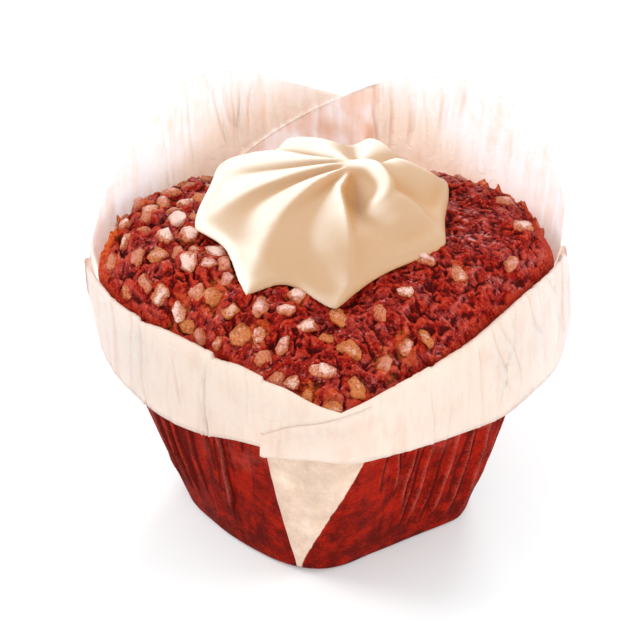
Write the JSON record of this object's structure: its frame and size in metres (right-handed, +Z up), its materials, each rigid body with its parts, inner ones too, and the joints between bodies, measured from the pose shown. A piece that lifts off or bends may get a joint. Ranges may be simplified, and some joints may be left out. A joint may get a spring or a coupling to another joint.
{
  "type": "cream-topped muffin in a paper case",
  "caption": "Square muffin with a low domed top and a piped rosette of cream, baked in a folded paper case with standing petals behind and a turned-down collar in front.",
  "frame": {"origin": "centre of the bounding box at the floor the paper case stands on", "axes": "+Z up; the four corners of the case point along -Y, which is the front, +X, +Y and -X; the standing petals of the paper are towards +Y"},
  "size_m": [0.104, 0.1039, 0.0859],
  "materials": {
    "sponge": "moist dark red cake crumb, stands in for baked sponge",
    "cream": "soft satin ivory, stands in for piped cream",
    "paper": "thin matte greaseproof paper, stained red where it touches the cake",
    "sugar": "cloudy baked sugar nibs with amber rims, made in the visual model"
  },
  "bodies": {
    "root": {"sponge": "sponge", "cream": "cream", "paper_case": "paper"}
  },
  "joints": []
}
